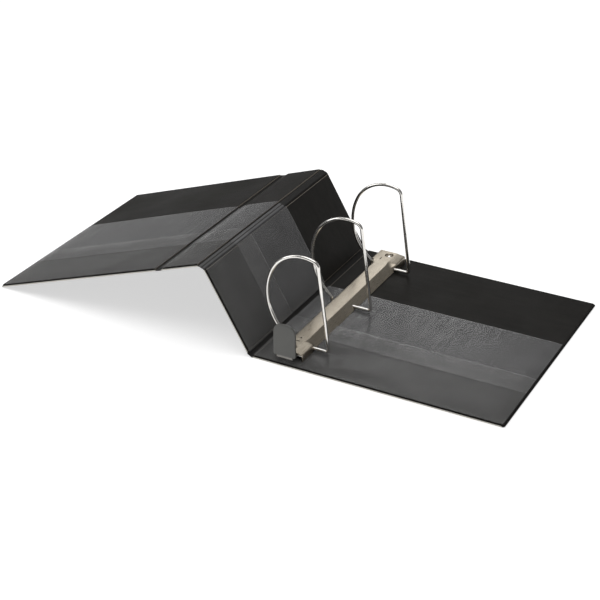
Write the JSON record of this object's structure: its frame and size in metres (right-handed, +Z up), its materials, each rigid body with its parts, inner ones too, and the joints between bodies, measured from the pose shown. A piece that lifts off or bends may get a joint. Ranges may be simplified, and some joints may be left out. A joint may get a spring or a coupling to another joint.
{
  "type": "ring binder",
  "caption": "Large-capacity view binder with slant-D rings, a thumb lever and clear pockets, standing open with its front cover folded back.",
  "frame": {"origin": "on the table under the middle of the back cover", "axes": "+X from the spine to the back cover's free edge, +Y along the spine away from the lever, +Z up"},
  "size_m": [0.654, 0.298, 0.1199],
  "materials": {
    "black_vinyl": "embossed satin vinyl",
    "board": "grey board core",
    "clear_overlay": "clear glossy film",
    "pocket_film": "frosted clear film over black",
    "housing_nickel": "satin nickel plated",
    "ring_nickel": "bright nickel plated",
    "plain_steel": "zinc plated",
    "lever_plastic": "dark grey moulded plastic"
  },
  "bodies": {
    "back": {"back_overlay": "clear_overlay", "back_outer_vinyl": "black_vinyl", "back_board": "board", "back_inner_vinyl": "black_vinyl", "back_pocket_lower": "pocket_film", "back_pocket_upper": "pocket_film", "housing": "housing_nickel", "housing_rivets": "ring_nickel", "lever_pin": "plain_steel"},
    "spine_web": {"spine_web": "black_vinyl"},
    "spine": {"spine_overlay": "clear_overlay", "spine_outer_vinyl": "black_vinyl", "spine_board": "board", "spine_inner_vinyl": "black_vinyl", "spine_pocket_lower": "pocket_film", "spine_pocket_upper": "pocket_film"},
    "ridge_web": {"ridge_web": "black_vinyl"},
    "strip": {"strip_overlay": "clear_overlay", "strip_outer_vinyl": "black_vinyl", "strip_board": "board", "strip_inner_vinyl": "black_vinyl", "strip_pocket_lower": "pocket_film", "strip_pocket_upper": "pocket_film"},
    "crease_web": {"crease_web": "black_vinyl"},
    "front": {"front_overlay": "clear_overlay", "front_outer_vinyl": "black_vinyl", "front_board": "board", "front_inner_vinyl": "black_vinyl", "front_pocket_lower": "pocket_film", "front_pocket_upper": "pocket_film"},
    "left_jaw": {"left_plate": "plain_steel", "left_ring_near": "ring_nickel", "left_ring_middle": "ring_nickel", "left_ring_far": "ring_nickel"},
    "right_jaw": {"right_plate": "plain_steel", "right_ring_near": "ring_nickel", "right_ring_middle": "ring_nickel", "right_ring_far": "ring_nickel"},
    "lever": {"lever_arm": "plain_steel", "lever_cover": "lever_plastic"},
    "travel_bar": {"travel_bar": "plain_steel"}
  },
  "joints": [
    {"name": "spine_fold_inner", "type": "hinge", "parent": "back", "child": "spine_web", "pos_m": [-0.1509, 0, 0.0005], "axis": [0, -1, 0], "range_deg": [-13.8, 29.8]},
    {"name": "spine_fold_outer", "type": "hinge", "parent": "spine_web", "child": "spine", "pos_m": [-0.15611, 0, 0.00348], "axis": [0, -1, 0], "range_deg": [-13.8, 29.8]},
    {"name": "ridge_fold_inner", "type": "hinge", "parent": "spine", "child": "ridge_web", "pos_m": [-0.21101, 0, 0.09706], "axis": [0, -1, 0], "range_deg": [-81.48, 5.67]},
    {"name": "ridge_fold_outer", "type": "hinge", "parent": "ridge_web", "child": "strip", "pos_m": [-0.21664, 0, 0.09915], "axis": [0, -1, 0], "range_deg": [-81.48, 5.67]},
    {"name": "crease_fold_inner", "type": "hinge", "parent": "strip", "child": "crease_web", "pos_m": [-0.26758, 0, 0.08155], "axis": [0, -1, 0], "range_deg": [0, 45]},
    {"name": "crease_fold_outer", "type": "hinge", "parent": "crease_web", "child": "front", "pos_m": [-0.27326, 0, 0.07959], "axis": [0, -1, 0], "range_deg": [0, 45]},
    {"name": "lever_press", "type": "hinge", "parent": "back", "child": "lever", "pos_m": [-0.11035, -0.1335, 0.0094], "axis": [1, 0, 0], "range_deg": [0, 26]},
    {"name": "left_jaw_open", "type": "hinge", "parent": "back", "child": "left_jaw", "pos_m": [-0.1241, 0, 0.00395], "axis": [0, -1, 0], "range_deg": [0, 12]},
    {"name": "right_jaw_open", "type": "hinge", "parent": "back", "child": "right_jaw", "pos_m": [-0.09635, 0, 0.00395], "axis": [0, 1, 0], "range_deg": [0, 3.5]},
    {"name": "travel_bar_slide", "type": "slide", "parent": "back", "child": "travel_bar", "axis": [0, 1, 0], "range_m": [0, 0.004]}
  ],
  "couplings": [
    {"joint": "left_jaw_open", "follows": "lever_press", "ratio": 0.4615},
    {"joint": "right_jaw_open", "follows": "lever_press", "ratio": 0.1346},
    {"joint": "travel_bar_slide", "follows": "lever_press", "m_per_rad": 0.0088}
  ]
}
